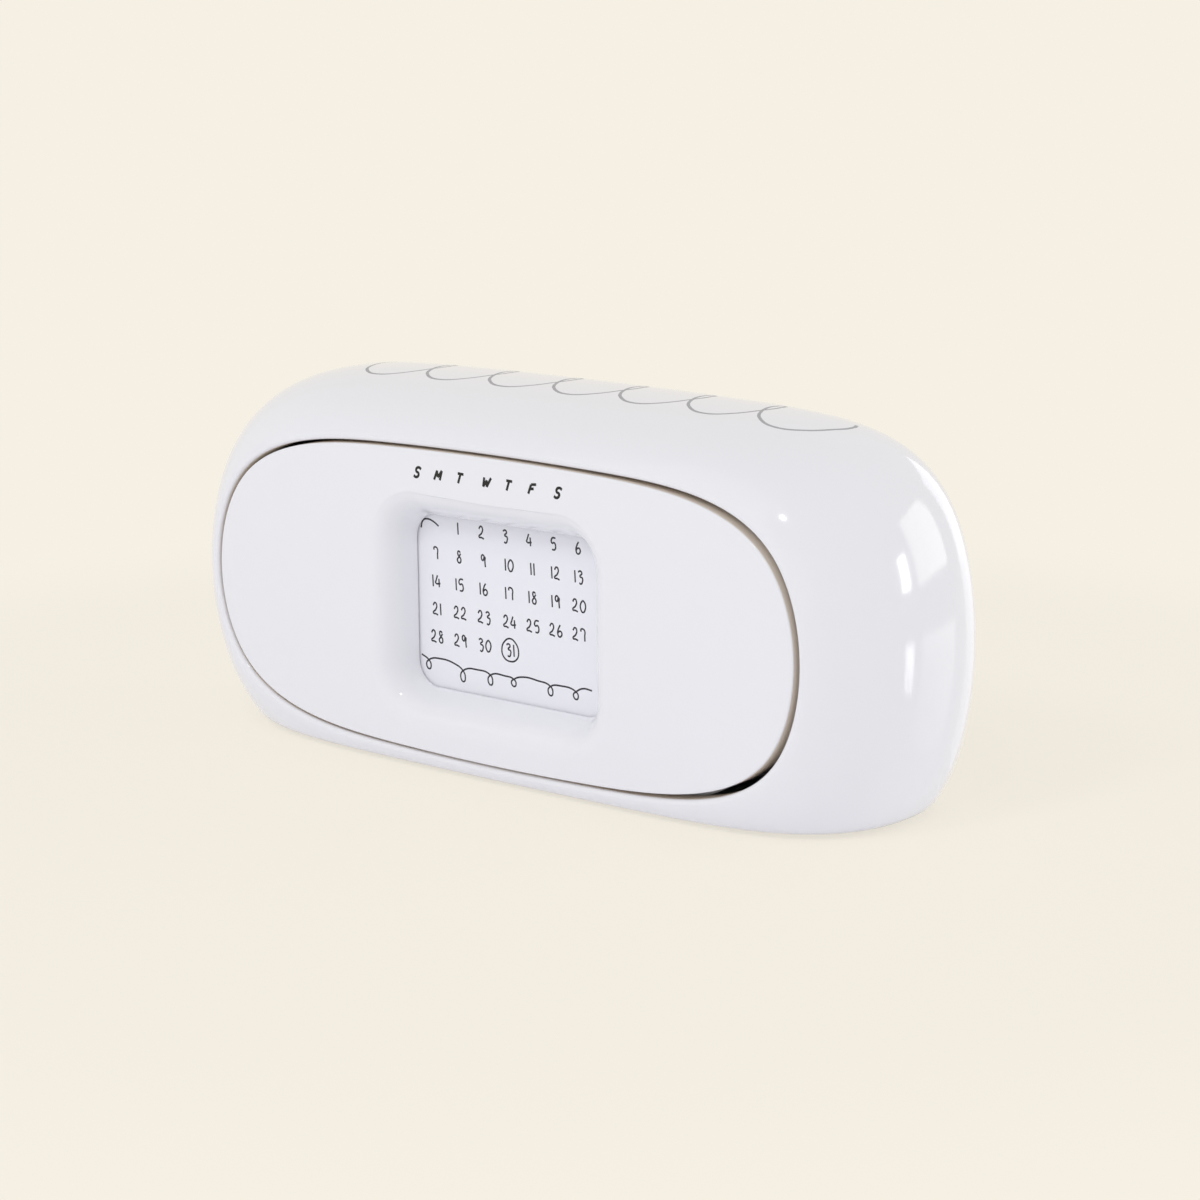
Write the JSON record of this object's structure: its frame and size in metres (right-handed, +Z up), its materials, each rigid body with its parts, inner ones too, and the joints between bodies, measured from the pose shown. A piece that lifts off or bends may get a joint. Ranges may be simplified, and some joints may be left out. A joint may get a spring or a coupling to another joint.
{
  "type": "desk calendar with drawer",
  "caption": "White pebble-shaped desk calendar whose oval front carries the month card in a flared window and pulls out as a shallow drawer.",
  "frame": {"origin": "on the table, under the middle of the part", "axes": "+X to the right as seen by the user, +Y to the back, +Z up; the drawer pulls out towards -Y"},
  "size_m": [0.2156, 0.0642, 0.0945],
  "materials": {
    "gloss_white_abs": "polished white injection-moulded ABS",
    "inner_white_abs": "fine satin white ABS",
    "rail_nylon": "satin natural nylon",
    "grey_rubber": "matt grey rubber",
    "zinc_steel": "zinc-plated steel",
    "printed_card": "smooth uncoated white card, printed"
  },
  "bodies": {
    "housing_body": {"housing": "gloss_white_abs", "back_cover": "inner_white_abs", "back_cover_screws": "zinc_steel", "drawer_cradle": "inner_white_abs", "cradle_screws": "zinc_steel", "closing_bumpers": "grey_rubber", "left_slide_rail": "rail_nylon", "right_slide_rail": "rail_nylon", "rail_screws": "zinc_steel", "front_left_foot": "grey_rubber", "front_right_foot": "grey_rubber", "rear_left_foot": "grey_rubber", "rear_right_foot": "grey_rubber"},
    "drawer": {"drawer_front": "gloss_white_abs", "drawer_tray": "inner_white_abs", "tray_screws": "zinc_steel", "card_pocket": "inner_white_abs", "card_pocket_screws": "zinc_steel", "calendar_card": "printed_card", "spare_cards": "printed_card"}
  },
  "joints": [
    {"name": "drawer_slide", "type": "slide", "parent": "housing_body", "child": "drawer", "axis": [0, -1, 0], "range_m": [0, 0.0396]}
  ]
}
